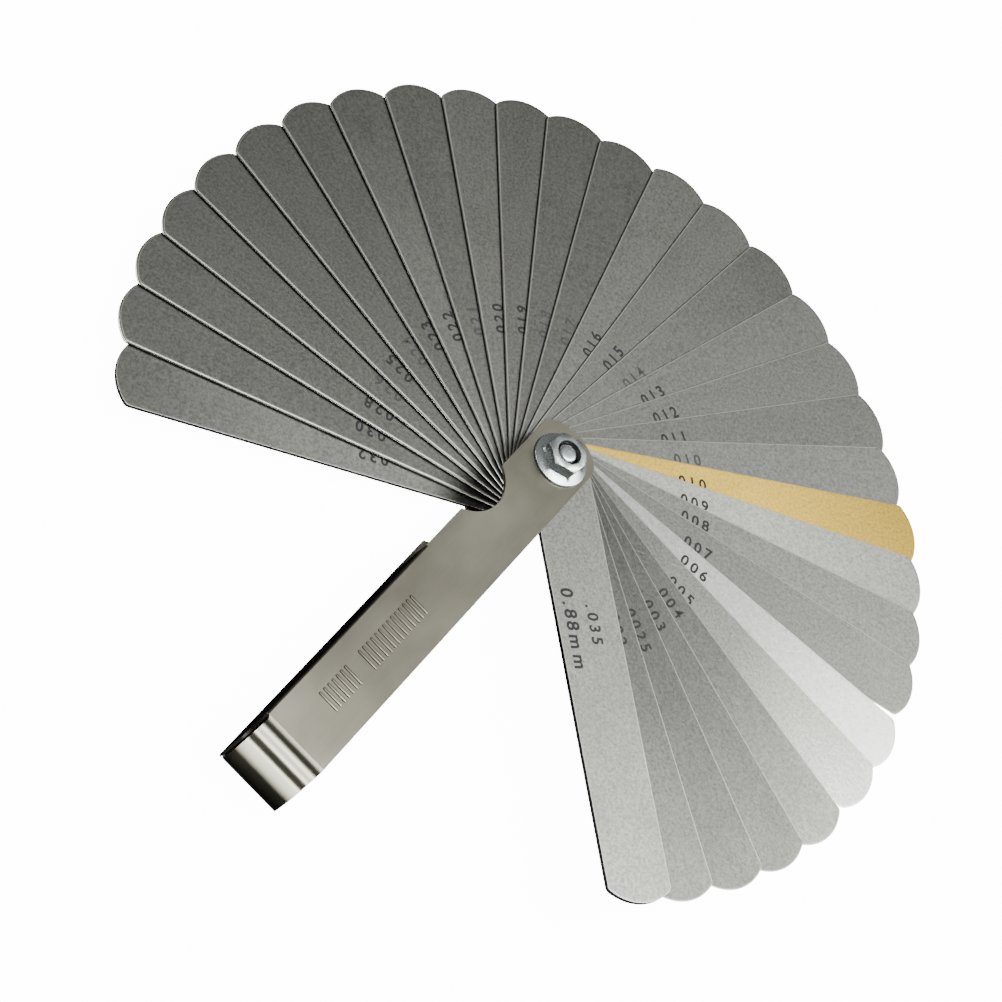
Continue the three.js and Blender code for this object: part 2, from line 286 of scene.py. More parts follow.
def inset(loop, distance):
    """A counter-clockwise closed loop moved inwards by a distance."""
    moved = []
    for index, point in enumerate(loop):
        before = (point - loop[index - 1]).normalized()
        after = (loop[(index + 1) % len(loop)] - point).normalized()
        normals = [Vector((-side.y, side.x)) for side in (before, after)]
        middle = (normals[0] + normals[1]).normalized()
        moved.append(point + middle * distance / max(middle.dot(normals[0]), 0.5))
    return moved


def ring(bm, points, height):
    """Vertices for a loop of XY points at one height."""
    return [bm.verts.new((point.x, point.y, height)) for point in points]


def band(bm, lower, upper, material=0):
    """Quads between two equal rings, facing outwards when the rings run counter-clockwise."""
    count = len(lower)
    for i in range(count):
        j = (i + 1) % count
        face = bm.faces.new((lower[i], lower[j], upper[j], upper[i]))
        face.material_index = material


def pierced_cap(bm, outer, hole, near, far, upwards):
    """Two faces that fill a ring round a hole, split where near and far points join them.

    near and far are (index on the outer ring, index on the hole ring) pairs.
    """
    for (first, hole_first), (last, hole_last) in ((near, far), (far, near)):
        side = walk(outer, first, last)
        back = walk(hole, hole_first, hole_last)
        loop = side + back[::-1]
        bm.faces.new(loop if upwards else loop[::-1])


def walk(loop, first, last):
    """The items of a closed loop from one index on to another, ends included."""
    count = len(loop)
    steps = (last - first) % count
    return [loop[(first + i) % count] for i in range(steps + 1)]


def linked(name, data):
    """A new object in the scene."""
    made = bpy.data.objects.new(name, data)
    bpy.context.scene.collection.objects.link(made)
    return made


def evaluated_mesh(made):
    """A new mesh of an object as its modifiers leave it."""
    bpy.context.view_layer.update()
    graph = bpy.context.evaluated_depsgraph_get()
    return bpy.data.meshes.new_from_object(made.evaluated_get(graph))


def finished(name, bm, materials, smooth_angle=35):
    """An object from a mesh in the making, in millimetres, smooth but for its sharp edges."""
    bmesh.ops.remove_doubles(bm, verts=bm.verts, dist=1e-5)
    bmesh.ops.recalc_face_normals(bm, faces=bm.faces)
    bmesh.ops.scale(bm, vec=(MM, MM, MM), verts=bm.verts)
    mesh = bpy.data.meshes.new(name)
    bm.to_mesh(mesh)
    bm.free()
    mesh.shade_smooth()
    mesh.set_sharp_from_angle(angle=math.radians(smooth_angle))
    for material in materials:
        mesh.materials.append(material)
    return linked(name, mesh)


def shaped(piece):
    """Applies a piece's modifiers and lets its large flat faces set the shading."""
    piece.modifiers.new("flat_faces", "WEIGHTED_NORMAL").keep_sharp = True
    mesh = evaluated_mesh(piece)
    piece.modifiers.clear()
    old = piece.data
    piece.data = mesh
    bpy.data.meshes.remove(old)
    mesh.name = piece.name
    return piece


def soften(piece, width):
    """Adds a rounding of a piece's sharp edges."""
    bevel = piece.modifiers.new("edges", "BEVEL")
    bevel.width = width
    bevel.segments = 3
    bevel.limit_method = "ANGLE"
    bevel.angle_limit = math.radians(40)


def place(piece, turn, body, slot, *nodes):
    """Turns a piece about the pivot, gives it its body and hides the nodes it replaces; its slot
    is not used.
    """
    piece.matrix_world = Matrix.Rotation(turn, 4, "Z")
    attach(piece, body)
    if nodes:
        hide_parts(*nodes)


def heights(node):
    """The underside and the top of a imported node, in millimetres."""
    low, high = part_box(node)
    return low.z / MM, high.z / MM


def colour_of(context, name):
    """One of the add-on's colours, as a plain tuple."""
    return tuple(getattr(context.scene.gauge_colours, name))


def rounded_plate(bm, outline, low, high, rounding, hole=None, polish_and_highlight_band=0, edge_material=0):
    """A plate with rounded rims: top and side rims, and a pierced or plain cap on each face.

    The rims below the upper rounding take edge_material. The band width argument is the width of a
    rim of the top face that an edge attribute marks for edge polish and a painted highlight.
    """
    worn = bm.verts.layers.float.get("worn") or bm.verts.layers.float.new("worn")
    angles = [QUARTER * i / RIM_STEPS for i in range(RIM_STEPS + 1)]
    away = [(rounding * (1 - math.sin(a)), rounding * (1 - math.cos(a))) for a in angles]
    rims = [ring(bm, inset(outline, sink), high - drop) for sink, drop in away]
    under = [ring(bm, inset(outline, sink), low + rise) for rise, sink in away]
    for rim in rims + under:
        for vertex in rim:
            vertex[worn] = 1.0
    top = rims[0]
    if polish_and_highlight_band:
        top = ring(bm, inset(outline, rounding + polish_and_highlight_band), high)
        band(bm, rims[0], top)
    for above, below in zip(rims, rims[1:]):
        band(bm, below, above)
    band(bm, under[0], rims[-1], edge_material)
    for above, below in zip(under, under[1:]):
        band(bm, below, above, edge_material)
    bottom = under[-1]
    if hole is None:
        bm.faces.new(top)
        bm.faces.new(bottom[::-1]).material_index = edge_material
        return
    hole_top = ring(bm, hole, high)
    hole_bottom = ring(bm, hole, low)
    band(bm, hole_top, hole_bottom, edge_material)
    tip = max(range(len(outline)), key=lambda i: outline[i].x)
    root = min(range(len(outline)), key=lambda i: outline[i].x)
    near = (tip, 0)
    far = (root, len(hole) // 2)
    pierced_cap(bm, top, hole_top, near, far, True)
    pierced_cap(bm, bottom, hole_bottom, near, far, False)


# ---------------------------------------------------------------- materials


def wired(tree, kind, inputs, **values):
    """A new node with its properties set, and each input joined to a socket or set to a value."""
    made = tree.nodes.new(kind)
    for key, value in values.items():
        setattr(made, key, value)
    for key, value in inputs.items():
        if isinstance(value, bpy.types.NodeSocket):
            tree.links.new(value, made.inputs[key])
        else:
            made.inputs[key].default_value = value
    return made


class Finish:
    """A material built up node by node on one Principled shader."""

    def __init__(self, name, base, roughness, metallic=1.0):
        self.material = bpy.data.materials.new(name)
        self.material.use_nodes = True
        self.tree = self.material.node_tree
        self.shader = self.tree.nodes["Principled BSDF"]
        self.shader.inputs["Metallic"].default_value = metallic
        self.shader.inputs["Roughness"].default_value = roughness
        self.shader.inputs["Base Color"].default_value = (*base, 1)
        self.place = self.tree.nodes.new("ShaderNodeTexCoord").outputs["Object"]

    def noise(self, scale, detail=3.0, shift=0.0, turn=0.0):
        """Noise turned by degrees and stretched by a scale per axis, in cycles per metre."""
        inputs = {"Vector": self.place, "Rotation": (0, 0, math.radians(turn))}
        turned = wired(self.tree, "ShaderNodeMapping", inputs)
        inputs = {"Vector": turned.outputs["Vector"], "Scale": scale}
        inputs["Location"] = (shift, shift * 0.7, shift * 0.3)
        mapping = wired(self.tree, "ShaderNodeMapping", inputs)
        inputs = {"Vector": mapping.outputs["Vector"], "Scale": 1.0, "Detail": detail}
        return wired(self.tree, "ShaderNodeTexNoise", inputs).outputs["Fac"]

    def remap(self, value, low, high, to_low, to_high):
        """A value stretched from one range to another, clamped."""
        inputs = dict(enumerate((value, low, high, to_low, to_high)))
        return wired(self.tree, "ShaderNodeMapRange", inputs).outputs["Result"]

    def combine(self, operation, first, second):
        """Two values, or a value and a number, combined by a maths operation."""
        inputs = {0: first, 1: second}
        node = wired(self.tree, "ShaderNodeMath", inputs, operation=operation)
        return node.outputs["Value"]

    def tint(self, base, factor, other):
        """A colour or colour socket mixed towards another colour by a factor."""
        inputs = {"Factor": factor, MIX_SECOND: (*other, 1)}
        inputs[MIX_FIRST] = (*base, 1) if isinstance(base, tuple) else base
        node = wired(self.tree, "ShaderNodeMix", inputs, data_type="RGBA")
        return node.outputs[MIX_RESULT]

    def layered(self, base, start, layers):
        """Shades of a base colour laid over each other on a first shade.

        A layer is a value, its range with the layer's share at both ends, and a shade.
        """
        coloured = shade(base, start)
        for value, span, factor in layers:
            coloured = self.tint(coloured, self.remap(value, *span), shade(base, factor))
        return coloured

    def along_piece(self):
        """Distance along the piece from the pivot, in metres."""
        return wired(self.tree, "ShaderNodeSeparateXYZ", {"Vector": self.place}).outputs["X"]

    def scaled(self, coloured, factor):
        """A colour socket made lighter or darker by a factor socket."""
        inputs = {0: coloured, "Scale": factor}
        node = wired(self.tree, "ShaderNodeVectorMath", inputs, operation="SCALE")
        return node.outputs["Vector"]

    def edge_polish_and_highlight(self):
        """The mesh's own mark of rims for edge polish and a painted highlight, from 0 to 1."""
        node = wired(self.tree, "ShaderNodeAttribute", {}, attribute_name="worn")
        return node.outputs["Fac"]

    def take(self, socket, name):
        """Gives one of the shader's inputs to a socket."""
        self.tree.links.new(socket, self.shader.inputs[name])

    def bump(self, height, distance, strength):
        """Raises fine relief, up to a distance in metres."""
        inputs = {"Height": height, "Distance": distance, "Strength": strength}
        self.take(wired(self.tree, "ShaderNodeBump", inputs).outputs["Normal"], "Normal")


def shade(base, factor):
    """A colour made lighter or darker."""
    return tuple(min(part * factor, 1.0) for part in base)


def ground_finish(name, base, roughness, tip_change, seed):
    """Ground sheet: speckled grain, faint lengthwise streaks and crossing hairline scratches, and
    rims made paler, partly as edge polish and partly as a painted highlight.
    """
    finish = Finish(name, base, roughness)
    grain = finish.noise((1700, 1700, 600), detail=4, shift=seed)
    speck = finish.noise((3600, 3000, 900), shift=seed + 9)
    streak = finish.noise((60, 1500, 400), detail=4, shift=seed + 6)
    cloud = finish.noise((110, 160, 80), shift=seed + 5)
    hair = finish.noise((70, 5200, 70), detail=2, shift=seed + 1, turn=24)
    scratch = finish.remap(hair, 0.66, 0.72, 0, 1)
    for scale, step, turn in (((90, 6000, 90), 2, -41), ((60, 5600, 60), 4, 78)):
        hair = finish.noise(scale, detail=2, shift=seed + step, turn=turn)
        scratch = finish.combine("MAXIMUM", scratch, finish.remap(hair, 0.67, 0.73, 0, 1))
    layers = (
        (grain, (0.3, 0.7, 0, 1), 1.32),
        (speck, (0.52, 0.8, 0, 0.7), 1.6),
        (speck, (0.48, 0.2, 0, 0.6), 0.5),
        (streak, (0.35, 0.7, 0, 0.22), 1.25),
        (cloud, (0.35, 0.65, 0, 0.16), 0.75),
        (scratch, (0, 1, 0, 0.4), 1.5),
    )
    coloured = finish.layered(base, 0.68, layers)
    if tip_change != 1:
        along = finish.remap(finish.along_piece(), 0.045, 0.078, 2 - tip_change, tip_change)
        coloured = finish.scaled(coloured, along)
    # Paler rims: partly edge polish, partly a painted highlight where the rounded edges catch the
    # light.
    rim = finish.combine("POWER", finish.edge_polish_and_highlight(), 4.0)
    polish_and_highlight_colour = shade(base, 0.8 / max(base))
    coloured = finish.tint(coloured, finish.combine("MULTIPLY", rim, 0.6), polish_and_highlight_colour)
    finish.take(coloured, "Base Color")
    rough = finish.remap(cloud, 0.3, 0.7, roughness - 0.02, roughness + 0.03)
    smoothed = finish.combine("MULTIPLY", scratch, 0.08)
    finish.take(finish.combine("SUBTRACT", rough, smoothed), "Roughness")
    relief = finish.combine("SUBTRACT", grain, finish.combine("MULTIPLY", scratch, 0.6))
    finish.bump(relief, 0.00001, 0.5)
    return finish.material


def edge_shade_finish(base):
    """Near-black sides of the sheets, a painted shade on their cut edges, with a few brighter
    rubbed places.
    """
    finish = Finish("leaf_edge_dark", base, 0.45)
    rub = finish.noise((500, 500, 4000), shift=2)
    coloured = finish.tint(base, finish.remap(rub, 0.6, 0.75, 0, 0.5), shade(base, 5))
    finish.take(coloured, "Base Color")
    finish.bump(rub, 0.00001, 0.4)
    return finish.material


def case_finish(base):
    """Satin plate: brushing along the case and a soft bloom, paler towards nose and tail."""
    finish = Finish("case_satin_plate", base, 0.32)
    brush = finish.noise((120, 5200, 3000), detail=4, shift=1)
    bloom = finish.noise((70, 110, 110), shift=4)
    fade = finish.noise((18, 30, 30), detail=2, shift=11)
    hair = finish.noise((60, 6000, 60), detail=2, shift=6, turn=13)
    scratch = finish.remap(hair, 0.67, 0.72, 0, 1)
    layers = (
        (bloom, (0.3, 0.7, 0, 1), 1.1),
        (brush, (0.3, 0.7, 0, 0.4), 1.18),
        (fade, (0.35, 0.65, 0, 0.3), 0.82),
        (scratch, (0, 1, 0, 0.15), 1.5),
    )
    coloured = finish.layered(base, 0.88, layers)
    length = finish.along_piece()
    middle = finish.remap(length, 0.012, 0.055, 1.0, 0.7)
    tail = finish.remap(length, 0.064, 0.079, 1.0, 1.5)
    finish.take(finish.scaled(coloured, finish.combine("MULTIPLY", middle, tail)), "Base Color")
    finish.take(finish.remap(bloom, 0.3, 0.7, 0.28, 0.33), "Roughness")
    finish.bump(brush, 0.000006, 0.15)
    return finish.material


def zinc_finish(base):
    """Bright plate: satin, with a faint rainbow tint and small handling marks."""
    finish = Finish("bright_zinc_plate", base, 0.26)
    bloom = finish.noise((350, 350, 350), shift=2)
    mark = finish.noise((1500, 2600, 1500), detail=4, shift=7)
    blue, amber = (0.78, 0.84, 0.90), (0.86, 0.82, 0.70)
    coloured = finish.tint(base, finish.remap(bloom, 0.35, 0.65, 0, 0.6), blue)
    warm = finish.remap(finish.noise((500, 500, 500), shift=12), 0.55, 0.7, 0, 0.35)
    finish.take(finish.tint(coloured, warm, amber), "Base Color")
    finish.take(finish.remap(mark, 0.3, 0.75, 0.26, 0.30), "Roughness")
    finish.bump(mark, 0.000008, 0.1)
    return finish.material


def thread_shade_finish():
    """Near-black steel in the thread and the nut's bore, a painted shade of the grooves, mottled
    lighter in places.
    """
    dark, rubbed = (0.06, 0.06, 0.06), (0.2, 0.2, 0.19)
    finish = Finish("thread_dark_steel", dark, 0.4)
    mottle = finish.noise((900, 900, 900), shift=5)
    finish.take(finish.tint(dark, finish.remap(mottle, 0.3, 0.7, 0, 1), rubbed), "Base Color")
    finish.bump(mottle, 0.00001, 0.3)
    return finish.material


def mark_finish(name, base):
    """Dark etch, matt and a little uneven."""
    finish = Finish(name, base, 0.6, metallic=0.0)
    fade = finish.noise((1800, 1800, 1800), shift=3)
    coloured = finish.tint(base, finish.remap(fade, 0.5, 0.8, 0, 0.6), shade(base, 3))
    finish.take(coloured, "Base Color")
    return finish.material


def floor_finish(base):
    """Pale matt floor, faintly uneven, that glows enough to lift its own shadows."""
    finish = Finish("studio_floor", base, 0.9, metallic=0.0)
    cloud = finish.noise((3, 3, 3), detail=2)
    coloured = finish.tint(shade(base, 0.98), finish.remap(cloud, 0.3, 0.7, 0, 1), base)
    finish.take(coloured, "Base Color")
    finish.shader.inputs["Emission Color"].default_value = (1, 1, 1, 1)
    finish.shader.inputs["Emission Strength"].default_value = FLOOR_GLOW
    return finish.material


# ---------------------------------------------------------------- leaves


def leaf_facts(node):
    """A leaf's fan angle from the case and its reach in millimetres, from the frame."""
    joint = next(j for j in frame["joints"] if j["child"] == node)
    reach = max(math.hypot(v.co.x, v.co.y) for v in frame["nodes"][node].data.vertices)
    return math.radians(-joint["range_deg"][0]), reach / MM


def leaf_nodes():
    """The leaves' names, from the nut down."""
    names = [name for name in frame["nodes"] if name.startswith("leaf_")]
    return sorted(names, key=lambda name: -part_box(name)[1].z)


def leaf_outline(sizes, reach):
    """Half-round root, straight sides, softly cornered tip, counter-clockwise."""
    half = sizes.width / MM / 2
    tip = sizes.tip_radius / MM
    corner = sizes.corner_radius / MM
    centre = reach - tip
    shift = math.sqrt((tip - corner) ** 2 - (half - corner) ** 2)
    lean = math.atan2(half - corner, shift)
    return [
        *arc((centre + shift, corner - half), corner, -QUARTER, -lean, 6),
        *arc((centre, 0), tip, -lean, lean, 32)[1:],
        *arc((centre + shift, half - corner), corner, lean, QUARTER, 6)[1:],
        *arc((0, 0), half, QUARTER, 3 * QUARTER, 48),
    ]


def size_marks(node):
    """The inch and metric sizes that a leaf carries, from its name."""
    digits = node.split("_")[1]
    inches = float("0." + digits)
    hundredths = max(math.floor(inches * HUNDREDTHS_PER_INCH + 1e-6), 1)
    return "." + digits, f"{hundredths / 100:.2f}mm"


def glyph(character, height):
    """One character as a flat mesh, in millimetres, about its own middle."""
    curve = bpy.data.curves.new("glyph", "FONT")
    curve.body = character
    curve.align_x = "CENTER"
    curve.size = height / DIGIT_SHARE
    curve.resolution_u = 4
    curve.extrude = 0.002  # to each side, so half of the film's thickness
    curve.offset = (STROKE_OF_FOUR if character == "4" else STROKE) * height
    writer = linked("glyph", curve)
    mesh = evaluated_mesh(writer)
    mesh.transform(Matrix.Translation((0, -height / 2, 0)))
    bpy.data.objects.remove(writer)
    bpy.data.curves.remove(curve)
    return mesh


def write_line(bm, text, height, start, middle, pitch):
    """Adds a line of characters. It starts at the middle of its first one."""
    x = start
    room = [pitch * ROOM.get(character, 1.0) for character in text]
    for index, character in enumerate(text):
        if index:
            x += (room[index - 1] + room[index]) / 2
        drawn = glyph(character, height)
        drawn.transform(Matrix.Translation((x, middle, 0)))
        bm.from_mesh(drawn)
        bpy.data.meshes.remove(drawn)


class GAUGE_OT_leaves(bpy.types.Operator):
    """Make the thirty-two leaves, each with its own ground finish"""

    bl_idname = "gauge.leaves"
    bl_label = "Make leaves"

    def execute(self, context):
        sizes = context.scene.gauge_leaf
        # The leaves' sides and holes take a painted shade.
        edge = edge_shade_finish(colour_of(context, "edge"))
        hole = circle(sizes.hole_radius / MM, 64)
        polish_and_highlight_band = sizes.polish_and_highlight_width / MM
        for index, node in enumerate(leaf_nodes()):
            angle, reach = leaf_facts(node)
            low, high = heights(node)
            tone_and_reflection, roughness, tip_change, _, _ = LEAF_LOOKS.get(node, COMMON_LOOK)
            metal = "brass" if node.endswith("brass") else "steel"
            # A leaf's tone is partly a painted reflection: the brightness that the lighting gives
            # this leaf.
            base = shade(colour_of(context, metal), tone_and_reflection)
            name = f"ground_{node}"
            face = ground_finish(name, base, roughness, tip_change, seed=index * 1.7)
            largest = sizes.sharp_round if node in SHARP_LEAVES else sizes.edge_round
            rounding = min(largest / MM, 0.45 * (high - low))
            outline = leaf_outline(sizes, reach)
            bm = bmesh.new()
            rounded_plate(bm, outline, low, high, rounding, hole, polish_and_highlight_band, edge_material=1)
            piece = shaped(finished(name, bm, [face, edge]))
            place(piece, angle + CASE_TURN, node, f"leaf_{metal}", node)
        return {"FINISHED"}


class GAUGE_OT_marks(bpy.types.Operator):
    """Etch each leaf's size in inches and in millimetres"""

    bl_idname = "gauge.marks"
    bl_label = "Etch sizes"

    def execute(self, context):
        sizes = context.scene.gauge_leaf
        strong = mark_finish("etched_black", colour_of(context, "mark"))
        faint = mark_finish("etched_faint", FAINT_TONE)
        top_leaf = leaf_nodes()[0]
        pitch = sizes.digit_pitch / MM
        for node in leaf_nodes():
            angle, _ = leaf_facts(node)
            inch, metric = size_marks(node)
            _, _, _, along, across = LEAF_LOOKS.get(node, COMMON_LOOK)
            if node == top_leaf:
                across = -sizes.top_shift / MM
            inch_start = sizes.inch_start / MM + along
            inch_line = sizes.inch_line / MM + across
            bm = bmesh.new()
            for text, height, start, middle in (
                (inch, sizes.inch_height, inch_start, inch_line),
                (metric, sizes.metric_height, sizes.metric_start / MM, sizes.metric_line / MM),
            ):
                write_line(bm, text, height / MM, start, middle, pitch)
            lift = heights(node)[1] + sizes.mark_proud / MM / 2
            bmesh.ops.translate(bm, vec=(0, 0, lift), verts=bm.verts)
            piece = finished(f"marks_{node}", bm, [faint if node in FAINT_MARKS else strong])
            place(piece, angle + CASE_TURN, node, "etched_mark")
        return {"FINISHED"}


# ---------------------------------------------------------------- case


def cheek_outline(sizes, join):
    """Nose, straight sides, thumb notch and bend line, counter-clockwise from the tail's join."""
    edge, back, bend = (v / MM for v in (sizes.open_edge, -sizes.back_edge, -sizes.bend_line))
    corner = Vector(NOSE_OPEN_CORNER)
    first = math.atan2(corner.y - NOSE_CENTRE[1], corner.x - NOSE_CENTRE[0])
    last = math.atan2(back - NOSE_CENTRE[1], NOSE_BACK_CORNER - NOSE_CENTRE[0]) + FULL
    control = Vector((EASE_CONTROL, edge))
    start = Vector((EASE_START, edge))
    ease = []
    for i in range(EASE_STEPS):
        t = i / EASE_STEPS
        ease.append(start * (1 - t) ** 2 + control * 2 * t * (1 - t) + corner * t * t)
    reach = math.acos((back - NOTCH_CENTRE[1]) / NOTCH_RADIUS)
    spine_start = sizes.spine_start / MM
    return [
        Vector((join, 0)),
        Vector((join, edge)),
        *ease,
        *arc(NOSE_CENTRE, NOSE_RADIUS, first, last, 40),
        *arc(NOTCH_CENTRE, NOTCH_RADIUS, QUARTER + reach, QUARTER - reach, 32),
        Vector((spine_start, back)),
        Vector((spine_start, bend)),
        Vector((join, bend)),
    ]


def tail_paths(sizes, front_low, front_high, back_low, back_high):
    """The folded tail's outer and inner lines as (x, z) points, from front to back cheek."""
    points = [
        Vector((sizes.front_bend / MM, front_high)),
        *(Vector((x, front_high - down)) for x, down in TAIL_FROM_FRONT),
        *(Vector((x, back_low + up)) for x, up in TAIL_FROM_BACK),
        Vector((sizes.back_bend / MM, back_low)),
    ]
    outer = []
    for i in range(len(points) - 1):
        before = points[max(i - 1, 0)]
        after = points[min(i + 2, len(points) - 1)]
        for step in range(TAIL_SEGMENTS):
            t = step / TAIL_SEGMENTS
            outer.append(spline_point(before, points[i], points[i + 1], after, t))
    outer.append(points[-1])
    inner = []
    for i, point in enumerate(outer):
        along = (outer[min(i + 1, len(outer) - 1)] - outer[max(i - 1, 0)]).normalized()
        inner.append(point + Vector((along.y, -along.x)) * sizes.sheet / MM)
    inner[0] = Vector((outer[0].x, front_low))
    inner[-1] = Vector((outer[-1].x, back_high))
    return outer, inner


def spline_point(a, b, c, d, t):
    """A point on the uniform Catmull-Rom curve between b and c."""
    return 0.5 * (
        2 * b + (c - a) * t + (2 * a - 5 * b + 4 * c - d) * t * t + (3 * b - a - 3 * c + d) * t**3
    )


def add_cheek(bm, outline, hole, low, high, open_edges):
    """A pierced cheek. open_edges are the outline edges, by first point, left for a seam."""
    top, bottom = ring(bm, outline, high), ring(bm, outline, low)
    hole_top, hole_bottom = ring(bm, hole, high), ring(bm, hole, low)
    count = len(outline)
    for i in range(count):
        if i not in open_edges:
            j = (i + 1) % count
            bm.faces.new((bottom[i], bottom[j], top[j], top[i]))
    band(bm, hole_top, hole_bottom)
    nose = min(range(count), key=lambda i: abs(outline[i].y) if outline[i].x < 0 else 100)
    near, far = (0, 0), (nose, len(hole) // 2)
    pierced_cap(bm, top, hole_top, near, far, True)
    pierced_cap(bm, bottom, hole_bottom, near, far, False)


def add_tail(bm, outer, inner, back, front):
    """The crimped strip between the cheeks, in two strips across."""
    last = len(outer) - 1
    skins = []
    for path in (outer, inner):
        skin_rows = []
        for i, p in enumerate(path):
            share = min(i / TAIL_EASE, (last - i) / TAIL_EASE, 1)
            columns = (back + TAIL_RELIEF * share, 0, front)
            skin_rows.append([bm.verts.new((p.x, y, p.y)) for y in columns])
        skins.append(skin_rows)
    for skin in skins:
        for near, far in zip(skin, skin[1:]):
            for side in (0, 1):
                bm.faces.new((near[side], far[side], far[side + 1], near[side + 1]))
    # The strip's two sides take the second material, a painted shade.
    for side in (0, 2):
        for i in range(last):
            corners = (skins[0][i], skins[0][i + 1], skins[1][i + 1], skins[1][i])
            bm.faces.new([column[side] for column in corners]).material_index = 1


def add_spine(bm, sizes, front_low, front_high, back_high):
    """The flange bent down from the front cheek, running on beside the tail."""
    half, outside = sizes.bend_line / MM, sizes.spine_outer / MM
    start, join, end = (v / MM for v in (sizes.spine_start, sizes.front_bend, sizes.spine_end))
    bend = outside - half
    foot = back_high + sizes.spine_foot / MM
    knee = front_high - bend
    inside = bend - sizes.spine_wall / MM
    outer, inner = (
        [(p.x, p.y) for p in arc((-half, knee), radius, QUARTER, math.pi, 8)]
        for radius in (bend, inside)
    )
    inner[0] = (-half, front_low)
    corners = [(end - back, knee - down) for back, down in SPINE_CREST]
    corners += [(end - back, foot + up) for back, up in SPINE_TOE]

    def at(x, section):
        """Vertices of one cross-section of the bend."""
        return [bm.verts.new((x, y, z)) for y, z in section]

    rows = [[at(x, line) for x in (start, join)] for line in (outer, inner)]
    for near, far in rows:
        for i in range(len(near) - 1):
            bm.faces.new((near[i], near[i + 1], far[i + 1], far[i]))
    walls = []
    for (near, far), y in zip(rows, (-outside, -half - inside)):
        rim = [bm.verts.new((x, y, z)) for x, z in corners]
        heel = bm.verts.new((start, y, foot))
        loop = [near[-1], far[-1], *rim, heel]
        bm.faces.new(loop)
        walls.append(loop)
    # The cut faces between the walls take the second material, a painted shade.
    for i in range(1, len(walls[0]) - 1):
        cut = bm.faces.new((walls[0][i], walls[0][i + 1], walls[1][i + 1], walls[1][i]))
        cut.material_index = 1
    bm.faces.new([*rows[0][1], *rows[1][1][::-1]])
    bm.faces.new([*rows[0][0], walls[0][-1], walls[1][-1], *rows[1][0][::-1]])


class GAUGE_OT_case(bpy.types.Operator):
    """Fold the case from one strip: two cheeks, the crimped tail and the spine flange"""

    bl_idname = "gauge.case"
    bl_label = "Fold case"

    def execute(self, context):
        sizes = context.scene.gauge_case
        low, high = heights("case")
        sheet = sizes.sheet / MM
        hole = circle(sizes.hole_radius / MM, 64)
        front_low, back_high = high - sheet, low + sheet
        bm = bmesh.new()
        front = cheek_outline(sizes, sizes.front_bend / MM)
        last = len(front) - 1
        add_cheek(bm, front, hole, front_low, high, {0, last, last - 1})
        back = cheek_outline(sizes, sizes.back_bend / MM)
        add_cheek(bm, back, hole, low, back_high, {0, last})
        outer, inner = tail_paths(sizes, front_low, high, low, back_high)
        add_tail(bm, outer, inner, -sizes.bend_line / MM, sizes.open_edge / MM)
        add_spine(bm, sizes, front_low, high, back_high)
        plate = case_finish(colour_of(context, "case"))
        # The cut sides of tail and spine take a painted shade.
        cut = edge_shade_finish(colour_of(context, "edge"))
        piece = finished("folded_case", bm, [plate, cut])
        soften(piece, sizes.edge_bevel)
        place(shaped(piece), CASE_TURN, ROOT_BODY, "case_steel", "case")
        return {"FINISHED"}


class GAUGE_OT_bars(bpy.types.Operator):
    """Stamp two groups of plain raised bars into the front cheek"""

    bl_idname = "gauge.bars"
    bl_label = "Stamp bars"

    def execute(self, context):
        sizes = context.scene.gauge_case
        top = heights("case")[1]
        half = sizes.bar_width / MM / 2
        long = sizes.bar_length / MM / 2 - half
        rise = sizes.bar_height / MM
        rounding = 0.1 * rise + 0.08
        bm = bmesh.new()
        for start, count in BAR_GROUPS:
            for index in range(count):
                x = start + index * sizes.bar_pitch / MM
                outline = [
                    *arc((x, BAR_MIDDLE + long), half, 0, math.pi, 8),
                    *arc((x, BAR_MIDDLE - long), half, math.pi, FULL, 8),
                ]
                rounded_plate(bm, outline, top - BAR_ROOT, top + rise, rounding)
        plate = case_finish(colour_of(context, "case"))
        piece = finished("stamped_bars", bm, [plate], smooth_angle=60)
        place(piece, CASE_TURN, ROOT_BODY, "case_steel")
        return {"FINISHED"}


# ---------------------------------------------------------------- screw and nut


def hexagon_radius(angle, flats):
    """From the centre to a hexagon's side, with corners at 0, 60, 120 degrees and so on."""
    off_middle = (angle % (math.pi / 3)) - math.pi / 6
    return flats / 2 / math.cos(off_middle)


def skin(bm, rows, material=0):
    """Quads between rows of (radius, height) functions of the angle; returns the rings."""
    rings = []
    for row in rows:
        points = []
        for i in range(AROUND):
            angle = FULL * i / AROUND
            radius, height = row(angle)
            corner = (radius * math.cos(angle), radius * math.sin(angle), height)
            points.append(bm.verts.new(corner))
        rings.append(points)
    for lower, upper in zip(rings, rings[1:]):
        band(bm, lower, upper, material)
    return rings


def level(radius, height):
    """A round row at one height."""
    return lambda angle: (radius, height)


def hex_side(flats, height, crown, face):
    """A row on a hexagon's side, lowered towards its corners by a crowning cone.

    crown is the cone's drop per millimetre past the face radius: 0 for a flat row.
    """

    def row(angle):
        radius = hexagon_radius(angle, flats)
        return radius, height - crown * max(radius - face, 0)

    return row


def thread(radius, depth, pitch, height):
    """A row on a thread that winds upwards."""

    def row(angle):
        turn = (height / pitch - angle / FULL) % 1
        return radius - depth * (1 - abs(2 * turn - 1)), height

    return row


def threaded(bm, radius, sizes, first, last):
    """The skin of a thread whose crests lie on a radius, between two heights."""
    depth, pitch = sizes.thread_depth / MM, sizes.thread_pitch / MM
    levels = [first + (last - first) * i / THREAD_STEPS for i in range(THREAD_STEPS + 1)]
    return skin(bm, [thread(radius, depth, pitch, z) for z in levels], 1)


def bright_piece(context, name, bm):
    """A plated piece whose threads take a painted shade."""
    zinc = zinc_finish(colour_of(context, "zinc"))
    return finished(name, bm, [zinc, thread_shade_finish()], smooth_angle=28)


